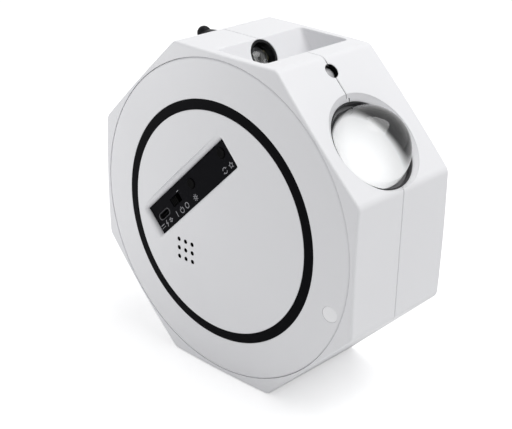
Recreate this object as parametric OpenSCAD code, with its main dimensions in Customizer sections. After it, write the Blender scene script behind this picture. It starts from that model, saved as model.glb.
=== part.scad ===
// Star and nebula projector: an octagonal housing that rests on any of three of its flats.
// X runs to the right, Y from the front to the back, Z up.
// The origin is on the rest face, under the middle of the housing. Lengths are millimetres.

/* [Housing] */
// Distance across the level and the upright flats
across_flats = 150; // [148:0.5:152]
// Length of each level or upright flat between its corners
flat_len = 59.2; // [58.6:0.2:59.8]
// Depth between the front corners and the back corners
corner_depth = 60; // [60:0.5:62]
// Bulge of the front and the back face at their middle
dome_h = 5.5; // [5.2:0.1:5.8]
// Radius of the housing edges that run from front to back
edge_r = 4.5; // [3.5:0.5:5]
// Thickness of the housing walls
wall = 2.6; // [2.4:0.1:2.8]
// Gap between the two shells at the seam
seam_gap = 0.3; // [0.2:0.05:0.3]
// Place of the seam from front to back, before or behind the middle
seam_y = -1.2; // [-1.4:0.1:-1]

/* [Front plate] */
// Radius of the round front plate
plate_r = 72.6; // [72.2:0.1:72.6]
// Inner radius of the black trim ring
ring_in_r = 50.7; // [50:0.1:51]
// Outer radius of the black trim ring
ring_out_r = 55.2; // [55:0.1:56]
// Distance between the holes of the speaker grille
grille_pitch = 4.3; // [4:0.1:4.4]
// Radius of each grille hole
grille_hole_r = 1.05; // [0.9:0.05:1.1]

/* [Control panel] */
// Length of the control panel
panel_len = 66.5; // [65.5:0.5:67]
// Width of the control panel
panel_w = 14; // [13.6:0.1:14.2]
// Radius of each push button
button_r = 2.4; // [2.2:0.1:2.5]
// Travel of each push button
button_travel = 0.5; // [0.3:0.1:0.6]
// Travel of the power switch
switch_travel = 2.6; // [2:0.2:2.8]

/* [Main lens] */
// Offset of the lens axis along its slanted flat, from the middle of the flat
lens_offset = 9.8; // [9.5:0.1:10]
// Radius of the opening around the lens
lens_bore_r = 20.7; // [20.6:0.1:20.8]
// Radius of the ball front of the glass lens
lens_r = 18.35; // [18.2:0.05:18.4]
// Depth of the ball's middle below the slanted flat
lens_depth = 5.9; // [5.8:0.1:6]

/* [Finger notch] */
// Left edge of the notch in the top flat
notch_left = -7.5; // [-8:0.5:-7]
// Right edge of the notch in the top flat
notch_right = 20.3; // [20:0.1:20.6]
// Depth of the notch below the top flat
notch_depth = 18.5; // [18:0.5:19]
// Length of the notch from front to back
notch_len = 53; // [51:1:53]
// Slope of the notch wall that holds the side lens, from level
notch_slope = 57; // [56:1:58]
// Radius of the side lens opening in that wall
side_lens_r = 7.4; // [7:0.1:7.4]

/* [Control knob] */
// Radius of the knob's flared skirt
knob_r = 6.9; // [6.7:0.1:7.1]
// Height of the knob's crown above the housing
knob_h = 7.7; // [7.5:0.1:7.9]

/* [Film wheel drive] */
// Teeth on the film wheel
wheel_teeth = 44; // [44:1:44]
// Teeth on the motor pinion
pinion_teeth = 12; // [12:1:12]

/* [Hidden] */
$fn = 96;
WHITE = [0.93, 0.93, 0.95];
BLACK = [0.06, 0.06, 0.07];
STEEL = [0.72, 0.73, 0.75];
GREEN = [0.05, 0.30, 0.16];
GLASS = [0.80, 0.86, 0.90, 0.5];
RUN = 0.05;          // running clearance, on the radius
FIT = 0.1;           // clearance round a seated piece
ROUND_STEPS = 5;     // straight pieces in each rounded edge
FAR = 60;            // reach of a cutter past the housing

half = across_flats / 2;
mid_z = half;
half_flat = flat_len / 2;
half_depth = corner_depth / 2;
slant_r = (half + half_flat) / sqrt(2);          // from the centre to a slanted flat
corner_dist = norm([half, half_flat]);
dome_r = (corner_dist * corner_dist + dome_h * dome_h) / (2 * dome_h);
dome_centre = dome_r - half_depth - dome_h;
inner_edge_r = edge_r - wall;
tongue = 1.5;        // length of the front shell's tongue past the seam

// Front plate, its seat and the opening behind it
plate_t = 2.5;
seat_y = -28.4;
ledge_back_y = -26;
ledge_r = 66;
ring_t = 1.2;

// Control panel: centre, slope and layers, from front to back
panel_x = -16;
panel_z = mid_z + 11.6;
panel_y = -31.8;
panel_t = 1.6;
pocket_floor_y = panel_y + panel_t;
pocket_back_y = -27.6;
board_y = -24.6;
board_t = 1.6;
socket_u = -26.25;
socket_v = 0;
socket_w = 8.9;
socket_h = 3.4;
switch_u = -13.95;
switch_v = 1.2;
slider_w = 4.2;
slider_h = 3.4;
buttons = [[0.45, 2], [27.05, 2.8]];
button_top_y = panel_y - 0.35;
flange_r = button_r + 0.6;
plunger_r = 1.1;
plunger_top = 4.1;       // above the control board
flange_t = 1.3;

// Speaker behind the grille
grille_x = -17.3;
grille_z = mid_z - 18.2;
speaker_r = 9;
speaker_y = -33.5;       // front of its rim

// Remote control window in the front plate
window_r = 3.7;
window_t = 2.4;
window_dist = 67.4;      // from the middle of the front plate
window_dip = 17.6;       // below the level line through the middle, in degrees
window_x = window_dist * cos(window_dip);
window_z = mid_z - window_dist * sin(window_dip);

// Depths below the slanted flat, along the lens axis
lens_rim = 2.1;          // end of the chamfer
lens_lip_rise = 2.4;     // the chamfer's cutter reaches past the flat
lens_lip_grow = 1.1;     // growth of its radius for each unit of depth
lens_lip_shift = 0.25;   // shift of its centre for each unit of depth
barrel_front = 2.3;
barrel_lip = 5;          // front of the lip that holds the lens
lens_seat = 6.3;         // front of the lens flange, behind that lip
lens_back = 9.4;
barrel_end = 21.7;
seat_r = 20;             // bore of the barrel
wheel_front = 22;
wheel_back = 26;
frame_front = 27;
frame_back = 30;
hub_r = 19;
film_r = 18.4;
window_in_r = 17;
shroud_end = 58;
sink_end = 76;
pilot_x = -34.9;         // small laser outlet, across the lens axis
pilot_r = 3.3;
gear_centres = (wheel_teeth + pinion_teeth) / 2;
pressure_a = 20;
backlash_a = 4.5;
frame_screw_y = 20.5;    // front of the frame's mounting flange
frame_post_y = 22.5;

// Screws that close the housing: [x, height above the centre, front end of the boss in the front shell]
screws = [[10, 51, -16], [-64.2, 26.6, -27], [-26.6, -64.2, -27], [64.2, -26.6, -27]];
screw_seat_y = 20;
screw_r = 1.25;
screw_head_r = 2.8;
tapper_r = 0.9;          // small screws of the frame and the main board
tapper_head_r = 1.8;
post_end_y = 33.5;       // the posts end inside the back wall

right_slope = 80;        // slope of the notch's right wall, from level

// Knob on the upper left flat, and the side lens down the wall of the notch
knob_u = 21.7;
shaft_r = 2;
knob_gap = 0.8;          // from the flat to the skirt
knob_rim = 1.2;          // top of the skirt's rim
crown_r = 3.2;
crown_z = 4.3;           // base of the domed crown
flare_r = 4.6;           // the skirt's slope bends towards this radius and height
flare_z = 3.1;
side_lens_q = 8;
lamp_r = 2.4;

// Main board on its posts
main_board_y = 16.4;
board_w = 42;
board_h = 36;
board_x = -26;
board_z = mid_z - 30;

// ---- Shared shapes ----

function turn(p, quarters) = quarters == 0 ? p : turn([-p[1], p[0]], quarters - 1);
function corner(i, inset) = let (h = half - inset, t = half_flat - inset * tan(22.5))
    turn(i % 2 == 0 ? [h, t] : [t, h], floor(i / 2));
function octagon(inset, r) = [for (i = [0:7], k = [0:ROUND_STEPS])
    let (a = 45 * (i + k / ROUND_STEPS)) corner(i, inset + r) + r * [cos(a), sin(a)]];

// A round bar along Y, from the front depth y0 to the back depth y1
module bar(y0, y1, r, x = 0, z = mid_z)
    translate([x, y1, z]) rotate([90, 0, 0]) cylinder(h = y1 - y0, r = r);

// A length of octagonal bar along Y
module prism(y0, y1, inset, r)
    translate([0, y1, mid_z]) rotate([90, 0, 0]) linear_extrude(y1 - y0) polygon(octagon(inset, r));

// The ball whose surface is the front face (side -1) or the back face (side 1)
module face_ball(side, shrink = 0)
    translate([0, -side * dome_centre, mid_z]) sphere(r = dome_r - shrink, $fn = 256);

module outer_half(side) intersection() {
    prism(side < 0 ? -FAR : seam_y + seam_gap / 2, side < 0 ? seam_y - seam_gap / 2 : FAR, 0, edge_r);
    face_ball(side);
}

// Places a piece on the lens axis: local +Z points out of the lens, local +X down the slanted flat
module on_lens_axis()
    translate([slant_r / sqrt(2), seam_y, mid_z + slant_r / sqrt(2)]) rotate([0, 45, 0])
        translate([lens_offset, 0, 0]) children();

// Places a piece on the knob's axis: local +Z points out of the upper left flat
module on_knob_axis()
    translate([-slant_r / sqrt(2), seam_y, mid_z + slant_r / sqrt(2)]) rotate([0, -45, 0])
        translate([knob_u, 0, 0]) children();

// Places a piece on the side lens axis: local +Z points out of the sloping notch wall
module on_side_axis() translate([notch_left + side_lens_q * cos(notch_slope), seam_y,
    across_flats - side_lens_q * sin(notch_slope)]) rotate([0, notch_slope, 0]) children();

// Places a piece square to the domed front at the remote window: local +Z points out of the front
module on_window() translate([0, dome_centre, mid_z]) rotate([0, window_dip, 0])
    rotate([0, 0, asin(window_dist / dome_r)]) translate([0, -dome_r, 0]) rotate([90, 0, 0]) children();

// Places a piece on the control panel: local X runs up the panel, local Z out of its front
module on_panel(y) translate([panel_x, y, panel_z]) rotate([90, 0, 0]) rotate([0, 0, 45]) children();

// A flat bar with rounded ends, centred, from z0 to z1
module slot(w, h, z0, z1) translate([0, 0, z0]) {
    translate([-(w - h) / 2, -h / 2, 0]) cube([w - h, h, z1 - z0]);
    for (s = [-1, 1]) translate([s * (w - h) / 2, 0, 0]) cylinder(h = z1 - z0, r = h / 2, $fn = 32);
}

module box(size_x, size_y, z0, z1) translate([-size_x / 2, -size_y / 2, z0]) cube([size_x, size_y, z1 - z0]);

// The notch's outline, seen from the front, grown outward by w
function notch_outline(w, rise) = let (
    lean_l = tan(notch_slope), lean_r = tan(right_slope), low = -notch_depth - w,
    left = notch_left - w / sin(notch_slope), right = notch_right + w / sin(right_slope))
    [[left - rise / lean_l, rise], [left - low / lean_l, low],
    [right + low / lean_r, low], [right + rise / lean_r, rise]];
module notch(w, rise) translate([0, notch_len / 2 + w, across_flats]) rotate([90, 0, 0])
    linear_extrude(notch_len + 2 * w) polygon(notch_outline(w, rise));

// Half of a tooth's angle at radius r on an involute gear of pitch radius p, with some backlash
function inv(a) = tan(a) * 180 / PI - a;
function tooth_half(p, teeth, r) = let (base = p * cos(pressure_a), a = acos(min(1, base / max(r, base))))
    (90 - backlash_a) / teeth + inv(pressure_a) - inv(a);
module gear(teeth, root, tip, z0, z1) {
    p = teeth / 2;
    radii = [for (k = [0:4]) root + (tip - root) * k / 4];
    function flank(i, k, side) = let (r = radii[k], a = 360 * i / teeth + side * tooth_half(p, teeth, r))
        r * [cos(a), sin(a)];
    translate([0, 0, z0]) linear_extrude(z1 - z0) polygon([for (i = [0:teeth - 1])
        each concat([for (k = [0:4]) flank(i, k, -1)], [for (k = [4:-1:0]) flank(i, k, 1)])]);
}

// ---- Housing ----

module wall_openings() {
    notch(0, 5);
    on_lens_axis() {
        translate([0, 0, -40]) cylinder(h = 45, r = lens_bore_r);
        // Chamfer, wider towards the middle of the flat
        hull() {
            translate([0, 0, -lens_rim]) cylinder(h = 0.01, r = lens_bore_r);
            translate([-lens_lip_shift * lens_lip_rise, 0, lens_lip_rise - lens_rim])
                cylinder(h = 0.01, r = lens_bore_r + lens_lip_grow * lens_lip_rise);
        }
        translate([pilot_x, 0, -20]) cylinder(h = 25, r = pilot_r, $fn = 48);
    }
    on_knob_axis() translate([0, 0, -10]) cylinder(h = 15, r = 4.1, $fn = 48);
    on_side_axis() translate([0, 0, -10]) cylinder(h = 15, r = side_lens_r + FIT, $fn = 64);
}

// Walls inside the housing that carry the notch, the lens barrel and the laser module
module inner_walls() intersection() {
    prism(-28.5, 28.5, wall / 2, edge_r - wall / 2);
    union() {
        notch(2.4, 0);
        on_lens_axis() translate([0, 0, -12]) cylinder(h = 12, r = lens_bore_r + 2.4);
        on_side_axis() translate([0, 0, -7]) cylinder(h = 7, r = side_lens_r + 2);
        on_lens_axis() translate([pilot_x, 0, -9]) cylinder(h = 9, r = pilot_r + 3.2, $fn = 48);
    }
}

module front_shell() color(WHITE) difference() {
    union() {
        difference() {
            outer_half(-1);
            prism(ledge_back_y, 1, wall, inner_edge_r);
            bar(-FAR, 0, ledge_r);
        }
        intersection() {
            inner_walls();
            translate([-FAR * 2, -FAR, 0]) cube([FAR * 4, FAR + seam_y - seam_gap / 2, across_flats]);
        }
        // Tongue that enters the rear shell
        difference() {
            prism(seam_y - 3, seam_y + tongue, wall / 2 + 0.2, edge_r - wall / 2);
            prism(seam_y - 4, seam_y + tongue + 1, wall, inner_edge_r);
        }
        for (s = screws) intersection() {
            bar(s[2], seam_y - seam_gap / 2, 3.6, s[0], mid_z + s[1]);
            prism(-FAR, FAR, wall / 2, edge_r - wall / 2);
        }
    }
    bar(-FAR, seat_y, plate_r + 0.25);
    wall_openings();
    for (s = screws) bar(-14, 5, screw_r, s[0], mid_z + s[1], $fn = 32);
    // Pry notch beside the plate
    translate([0, 0, mid_z]) rotate([0, 69.5, 0]) translate([plate_r - 0.5, -33, -0.5]) cube([2, 4, 1]);
    // Room behind the remote window, and round the film wheel
    bar(seat_y - 1, ledge_back_y + 1, window_r + 0.8, window_x, window_z, $fn = 48);
    on_lens_axis() translate([0, 0, -30]) cylinder(h = 18, r = hub_r + 5);
}

// Rebate in the rear shell for the front shell's tongue
module rebate() prism(seam_y - 1, seam_y + tongue + 0.3, wall / 2 + 0.05, edge_r - wall / 2);

module rear_shell() color(WHITE) difference() {
    union() {
        difference() {
            outer_half(1);
            intersection() {
                prism(seam_y - 1, FAR, wall, inner_edge_r);
                face_ball(1, wall);
            }
            rebate();
        }
        intersection() {
            inner_walls();
            translate([-FAR * 2, seam_y + seam_gap / 2, 0]) cube([FAR * 4, FAR, across_flats]);
        }
        for (s = screws) intersection() {
            bar(seam_y + seam_gap / 2, 31, 4.6, s[0], mid_z + s[1]);
            prism(-FAR, FAR, wall / 2, edge_r - wall / 2);
        }
        for (p = frame_posts()) bar(frame_post_y, post_end_y, 3.2, p[0], p[1], $fn = 48);
        for (p = board_posts()) bar(main_board_y + board_t, post_end_y, 3, p[0], p[1], $fn = 48);
    }
    // The tongue ends of the screw bosses and the inner walls stay clear of the front shell
    difference() {
        rebate();
        prism(seam_y - 2, seam_y + tongue + 2, wall + 0.15, inner_edge_r);
    }
    wall_openings();
    for (s = screws) {
        bar(seam_y - 1, 40, screw_r + 0.45, s[0], mid_z + s[1], $fn = 32);
        bar(screw_seat_y, 40, screw_head_r + 0.2, s[0], mid_z + s[1], $fn = 48);
    }
    for (p = frame_posts()) bar(frame_screw_y, 29, tapper_r, p[0], p[1], $fn = 24);
    for (p = board_posts()) bar(main_board_y, 25, tapper_r, p[0], p[1], $fn = 24);
    // Cooling slots
    for (i = [0:6]) translate([-24 + 8 * i, 20, mid_z - 22]) rotate([-90, 0, 0]) rotate([0, 0, 90])
        slot(26 - 2 * abs(i - 3), 2.2, 0, 20);
    on_lens_axis() translate([0, 0, -30]) cylinder(h = 18, r = hub_r + 5);
}

// ---- Front plate and control panel ----

module front_plate() color(WHITE) difference() {
    union() {
        intersection() {
            bar(-FAR, seat_y, plate_r);
            face_ball(-1);
            difference() {
                bar(-FAR, 0, plate_r + 1);
                intersection() {
                    bar(-FAR, 1, ledge_r - 1.5);
                    face_ball(-1, plate_t);
                }
            }
        }
        // Pocket that holds the control panel
        intersection() {
            on_panel(pocket_back_y) box(panel_len + 4.4, panel_w + 4.4, 0, 20);
            face_ball(-1, 0.5);
        }
        // Posts for the control board
        for (u = [-1, 1], v = [-1, 1]) on_panel(board_y)
            translate([u * (panel_len / 2), v * (panel_w / 2), 0]) cylinder(h = 4, r = 1.2, $fn = 32);
        // Ring that holds the speaker
        intersection() {
            bar(-FAR, -29, speaker_r + 1.4, grille_x, grille_z);
            face_ball(-1, 1);
        }
        // Spigot that centres the plate in its opening
        difference() {
            bar(-30, ledge_back_y, ledge_r - 0.2);
            bar(-FAR, 0, ledge_r - 2);
        }
    }
    hull() {
        on_panel(pocket_floor_y) box(panel_len + 2 * FIT, panel_w + 2 * FIT, 0, 0.01);
        on_panel(pocket_floor_y) box(panel_len + 1.2, panel_w + 1.2, 8, 8.01);
    }
    on_panel(0) box(panel_len - 2, panel_w - 2, 0, 40);
    // Groove for the trim ring
    difference() {
        bar(-FAR, 0, ring_out_r + FIT);
        bar(-FAR - 1, 1, ring_in_r - FIT);
        face_ball(-1, ring_t);
    }
    // Recess behind the grille
    bar(speaker_y - FIT, 0, speaker_r + FIT, grille_x, grille_z);
    for (i = [-1:1], j = [-1:1])
        bar(-FAR, 0, grille_hole_r, grille_x + i * grille_pitch, grille_z + j * grille_pitch, $fn = 24);
    on_window() translate([0, 0, -12]) cylinder(h = 20, r = window_r + FIT, $fn = 48);
    notch(2.8, 0);
}

module trim_ring() color(BLACK) difference() {
    intersection() {
        bar(-FAR, 0, ring_out_r);
        face_ball(-1, -0.15);
    }
    bar(-FAR - 1, 1, ring_in_r);
    face_ball(-1, ring_t);
}

module remote_window() color(GLASS) on_window()
    translate([0, 0, -window_t - 0.1]) cylinder(h = window_t, r = window_r, $fn = 48);

module control_panel() color(BLACK) difference() {
    on_panel(pocket_floor_y) box(panel_len, panel_w, 0, panel_t);
    on_panel(pocket_floor_y) {
        translate([socket_u, socket_v, 0]) slot(socket_w + 0.3, socket_h + 0.3, -1, 5);
        translate([switch_u, switch_v, 0]) box(slider_w + switch_travel + 0.8, slider_h + 0.7, -1, 5);
        for (b = buttons) translate([b[0], b[1], -1]) cylinder(h = 6, r = button_r + 0.15, $fn = 48);
    }
}

module power_socket() color(STEEL) on_panel(board_y) translate([socket_u, socket_v, 0]) difference() {
    slot(socket_w, socket_h, 0, board_y - panel_y - 0.1);
    slot(socket_w - 0.6, socket_h - 0.6, 0.8, 20);
}

module socket_tongue() color(BLACK) on_panel(board_y) translate([socket_u, socket_v, 0])
    box(6.4, 0.7, 0.8, board_y - panel_y - 1.2);

module power_switch() color(STEEL) on_panel(board_y) translate([switch_u, switch_v, 0]) difference() {
    box(11, 6, 0, 3.6);
    box(slider_w + switch_travel + 0.6, slider_h + 0.6, 1.2, 5);
}

module power_slider() color(BLACK) on_panel(board_y)
    translate([switch_u - switch_travel / 2, switch_v, 0]) difference() {
        box(slider_w, slider_h, 1.5, board_y - panel_y - 0.2);
        for (i = [-1:1]) translate([i * 1.1, 0, board_y - panel_y - 0.2]) box(0.4, slider_h + 1, -0.35, 1);
    }

// A push button: a round cap on a flange that stays behind the panel
module button(i) color(BLACK) on_panel(board_y) translate([buttons[i][0], buttons[i][1], plunger_top]) {
    cylinder(h = board_y - button_top_y - plunger_top, r = button_r, $fn = 48);
    cylinder(h = flange_t, r = flange_r, $fn = 48);
}
module light_button() button(0);
module mode_button() button(1);

// The plunger's head touches the cap, and its stem slides in the switch
module plunger(i) color(STEEL) on_panel(board_y) translate([buttons[i][0], buttons[i][1], plunger_top - 2.7])
    cylinder(h = 2.7, r = plunger_r, $fn = 48);
module light_plunger() plunger(0);
module mode_plunger() plunger(1);

module tactile_switches() color(BLACK) on_panel(board_y) for (b = buttons)
    translate([b[0], b[1], 0]) difference() {
        box(5, 5, 0, 3);
        translate([0, 0, 0.6]) cylinder(h = 5, r = plunger_r + RUN, $fn = 48);
    }

module control_board() color(GREEN) on_panel(board_y) box(panel_len + 3, panel_w + 3, -board_t, 0);

module speaker_basket() color(BLACK) difference() {
    union() {
        bar(speaker_y, speaker_y + 1, speaker_r, grille_x, grille_z);
        bar(speaker_y, speaker_y + 3.5, speaker_r - 1.5, grille_x, grille_z);
    }
    bar(speaker_y - 1, speaker_y + 2.5, speaker_r - 2.2, grille_x, grille_z);
}

module speaker_cone() color(BLACK) translate([grille_x, speaker_y + 2.5, grille_z]) rotate([90, 0, 0])
    rotate_extrude($fn = 64) polygon([[0, 0], [2.6, 0], [speaker_r - 2.3, 2], [speaker_r - 2.3, 2.3],
        [2.6, 0.6], [0, 1.2]]);

module speaker_magnet() color(STEEL)
    bar(speaker_y + 3.5, speaker_y + 8, 5.5, grille_x, grille_z);

// ---- Lens, film wheel and lamp, on the lens axis ----

module ring(z0, z1, r_out, r_in) translate([0, 0, z0]) difference() {
    cylinder(h = z1 - z0, r = r_out);
    translate([0, 0, -1]) cylinder(h = z1 - z0 + 2, r = r_in);
}

module lens_barrel() color(BLACK) on_lens_axis() {
    ring(-barrel_end, -barrel_front, lens_bore_r - FIT, seat_r);
    ring(-lens_seat, -barrel_lip, seat_r + FIT, lens_r + 0.25);
}

// A ball front on a flange that sits behind the barrel's lip
module projection_lens() color(GLASS) on_lens_axis() {
    translate([0, 0, -lens_back]) cylinder(h = lens_back - lens_seat, r = seat_r - FIT);
    translate([0, 0, -lens_seat - 0.1]) cylinder(h = lens_seat + 0.1 - lens_depth, r = lens_r);
    translate([0, 0, -lens_depth]) intersection() {
        sphere(r = lens_r, $fn = 128);
        translate([0, 0, -0.1]) cylinder(h = lens_r + 1, r = lens_r + 1);
    }
}

module lens_retaining_ring() color(BLACK) on_lens_axis()
    ring(-lens_back - 2, -lens_back, seat_r - FIT, seat_r - FIT - 2);

module film_wheel() color(WHITE) on_lens_axis() difference() {
    union() {
        gear(wheel_teeth, wheel_teeth / 2 - 1.15, wheel_teeth / 2 + 0.75, -wheel_back, -wheel_front);
        translate([0, 0, 0.5 - frame_back]) cylinder(h = frame_back - wheel_back + 0.5, r = hub_r);
    }
    translate([0, 0, -frame_back - 1]) cylinder(h = 20, r = window_in_r);
    translate([0, 0, -wheel_front - 1]) cylinder(h = 5, r = film_r + FIT);
}

module film_disc() color([0.15, 0.2, 0.5]) on_lens_axis()
    translate([0, 0, -wheel_front - 1]) cylinder(h = 0.8, r = film_r);

module optical_frame() color(BLACK) on_lens_axis() difference() {
    union() {
        translate([-26, -22, -frame_back]) cube([63, 22 + frame_post_y - seam_y, frame_back - frame_front]);
        translate([-26, frame_screw_y - seam_y, -48]) cube([52, frame_post_y - frame_screw_y, 20]);
    }
    translate([0, 0, -frame_back - 1]) cylinder(h = 5, r = hub_r + RUN);
    translate([gear_centres, 0, -frame_back - 1]) cylinder(h = 5, r = 2, $fn = 48);
    for (x = [-18, 18]) translate([x, 18, -42]) rotate([-90, 0, 0]) cylinder(h = 8, r = 1.2, $fn = 32);
    // Corner taken off beside the housing wall
    translate([37, 0, -40]) rotate([0, -45, 0]) translate([0, -40, -10]) cube([20, 80, 20]);
}

// Centres of the frame screws in X and Z
function frame_posts() = [for (x = [-18, 18]) let (f = slant_r / sqrt(2), s = 42, e = lens_offset + x)
    [f + (e - s) / sqrt(2), mid_z + f - (e + s) / sqrt(2)]];

module motor() color(STEEL) on_lens_axis() translate([gear_centres, 0, 0]) difference() {
    union() {
        translate([0, 0, -46]) cylinder(h = 46 - frame_back, r = 6.5, $fn = 64);
        translate([0, 0, -48]) cylinder(h = 3, r = 2.5, $fn = 48);
    }
    translate([0, 0, -frame_back - 6]) cylinder(h = 10, r = 1 + RUN, $fn = 48);
}

module motor_shaft() color(STEEL) on_lens_axis() translate([gear_centres, 0, -frame_back - 5])
    cylinder(h = frame_back + 5 - wheel_front, r = 1, $fn = 48);

module motor_pinion() color(WHITE) on_lens_axis() translate([gear_centres, 0, 0]) difference() {
    rotate([0, 0, 180 / pinion_teeth])
        gear(pinion_teeth, pinion_teeth / 2 - 1, pinion_teeth / 2 + 0.9, -wheel_back, -wheel_front - 0.2);
    translate([0, 0, -wheel_back - 1]) cylinder(h = 6, r = 1, $fn = 48);
}

module light_shroud() color(WHITE) on_lens_axis() translate([0, 0, -shroud_end]) rotate_extrude() polygon([
    [10.4, 0], [12, 0], [12, 4], [18.6, 26.6], [20.3, 26.6], [20.3, 28], [17.6, 28], [14.1, 24], [14.1, 15],
    [12.6, 15], [8.4, 3], [8.4, 1.7], [10.4, 1.7]]);

module condenser_lens() color(GLASS) on_lens_axis() {
    translate([0, 0, -43]) cylinder(h = 2.5, r = 13.9);
    translate([0, 0, -40.5]) intersection() {
        translate([0, 0, 5 - 21.8]) sphere(r = 21.8, $fn = 96);
        cylinder(h = 6, r = 13.4);
    }
}

module led_lamp() color([0.95, 0.9, 0.6]) on_lens_axis() {
    translate([0, 0, -shroud_end]) cylinder(h = 1.6, r = 10.2);
    translate([0, 0, -shroud_end + 1.6]) cylinder(h = 0.8, r = 3.5, $fn = 48);
    translate([0, 0, -shroud_end + 2.4]) intersection() {
        sphere(r = 2.6, $fn = 48);
        cylinder(h = 4, r = 4);
    }
}

module heat_sink() color(STEEL) on_lens_axis() difference() {
    translate([0, 0, -sink_end]) cylinder(h = sink_end - shroud_end, r = 15);
    for (i = [-3:3]) translate([i * 4 - 1.2, -FAR, -sink_end - 1]) cube([2.4, FAR * 2, 14]);
}

module laser_module() color([0.5, 0.5, 0.51]) on_lens_axis() translate([pilot_x, 0, -10.2])
    cylinder(h = 8, r = pilot_r - FIT, $fn = 48);

// ---- Side lens in the notch wall ----

module side_lens_barrel() color(BLACK) on_side_axis() difference() {
    translate([0, 0, -13]) cylinder(h = 12.8, r = side_lens_r, $fn = 64);
    translate([0, 0, -12]) cylinder(h = 13, r = side_lens_r - 1.2, $fn = 64);
    translate([0, 0, -14]) cylinder(h = 3, r = 3, $fn = 48);
}

module side_lens() color(GLASS) on_side_axis() {
    r = side_lens_r - 1.2 - FIT;
    h = 3;
    cap_r = (r * r + h * h) / (2 * h);
    translate([0, 0, -7]) cylinder(h = 2.4, r = r, $fn = 64);
    translate([0, 0, -4.6]) intersection() {
        translate([0, 0, h - cap_r]) sphere(r = cap_r, $fn = 96);
        cylinder(h = 5, r = r - 0.2);
    }
}

module side_lamp() color([0.95, 0.9, 0.6]) on_side_axis() {
    translate([0, 0, -14.6]) cylinder(h = 1.6, r = 6, $fn = 48);
    translate([0, 0, -13]) cylinder(h = 2.4, r = lamp_r, $fn = 48);
}

// ---- Knob ----

module control_knob() color(BLACK) on_knob_axis() difference() {
    rotate_extrude() polygon(concat(
        [[0, knob_gap], [knob_r, knob_gap], [knob_r, knob_rim]],
        [for (t = [0.125:0.125:1]) (1 - t) * (1 - t) * [knob_r, knob_rim]
            + 2 * t * (1 - t) * [flare_r, flare_z] + t * t * [crown_r, crown_z]],
        [for (a = [15:15:90]) [crown_r * cos(a), crown_z + (knob_h - crown_z) * sin(a)]]));
    translate([0, 0, -1]) cylinder(h = 6, r = shaft_r, $fn = 48);
}

module knob_shaft() color(STEEL) on_knob_axis()
    translate([0, 0, -6]) cylinder(h = 11, r = shaft_r, $fn = 48);

module potentiometer() color(STEEL) on_knob_axis() difference() {
    union() {
        box(9.6, 10, -wall - 6, -wall);
        translate([0, 0, -wall]) cylinder(h = wall + 0.4, r = 4, $fn = 48);
    }
    translate([0, 0, -wall - 4.4]) cylinder(h = 20, r = shaft_r + RUN, $fn = 48);
}

// ---- Boards and screws ----

// Centres of the main board's screws in X and Z
function board_posts() = [for (i = [-1, 1], j = [-1, 1])
    [board_x + i * (board_w / 2 - 4), board_z + j * (board_h / 2 - 4)]];

module main_board() color(GREEN) {
    difference() {
        translate([board_x - board_w / 2, main_board_y, board_z - board_h / 2])
            cube([board_w, board_t, board_h]);
        for (p = board_posts()) bar(15, 20, tapper_r + 0.3, p[0], p[1], $fn = 24);
    }
    color(BLACK) {
        translate([board_x - 8, main_board_y - 1.6, board_z - 4]) cube([9, 1.6, 9]);
        translate([board_x + 5, main_board_y - 4, board_z - 8]) cube([7, 4, 6]);
        bar(main_board_y - 8, main_board_y, 3, board_x - 2, board_z - 12, $fn = 48);
    }
}

module remote_receiver() color(BLACK) translate([window_x, seat_y, window_z]) rotate([-90, 0, 0])
    box(5.6, 5, 0.01, 2.2);

// A screw along Y: side 1 has its head at the back, with the shank running forward
module screw(y_head, length, r, head_r, x, z, side) {
    head = 1.6;
    if (side > 0) {
        difference() {
            bar(y_head, y_head + head, head_r, x, z, $fn = 32);
            bar(y_head + head - 0.8, y_head + 5, head_r / 2.4, x, z, $fn = 6);
        }
        bar(y_head - length, y_head + 0.1, r, x, z, $fn = 32);
    } else {
        bar(y_head - head, y_head, head_r, x, z, $fn = 32);
        bar(y_head - 0.1, y_head + length, r, x, z, $fn = 32);
    }
}
module housing_screws() color(STEEL) for (s = screws)
    screw(screw_seat_y, 30, screw_r, screw_head_r, s[0], mid_z + s[1], 1);
module frame_screws() color(STEEL) for (p = frame_posts())
    screw(frame_screw_y, 8, tapper_r, tapper_head_r, p[0], p[1], -1);
module board_screws() color(STEEL) for (p = board_posts())
    screw(main_board_y, 8, tapper_r, tapper_head_r, p[0], p[1], -1);

front_shell();
rear_shell();
front_plate();
trim_ring();
remote_window();
control_panel();
power_socket();
socket_tongue();
power_switch();
power_slider();
light_button();
mode_button();
light_plunger();
mode_plunger();
tactile_switches();
control_board();
speaker_basket();
speaker_cone();
speaker_magnet();
lens_barrel();
projection_lens();
lens_retaining_ring();
film_wheel();
film_disc();
optical_frame();
motor();
motor_shaft();
motor_pinion();
light_shroud();
condenser_lens();
led_lamp();
heat_sink();
laser_module();
side_lens_barrel();
side_lens();
side_lamp();
control_knob();
knob_shaft();
potentiometer();
main_board();
remote_receiver();
housing_screws();
frame_screws();
board_screws();
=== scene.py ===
import math

import bmesh
import bpy
from mathutils import Matrix, Vector


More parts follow.
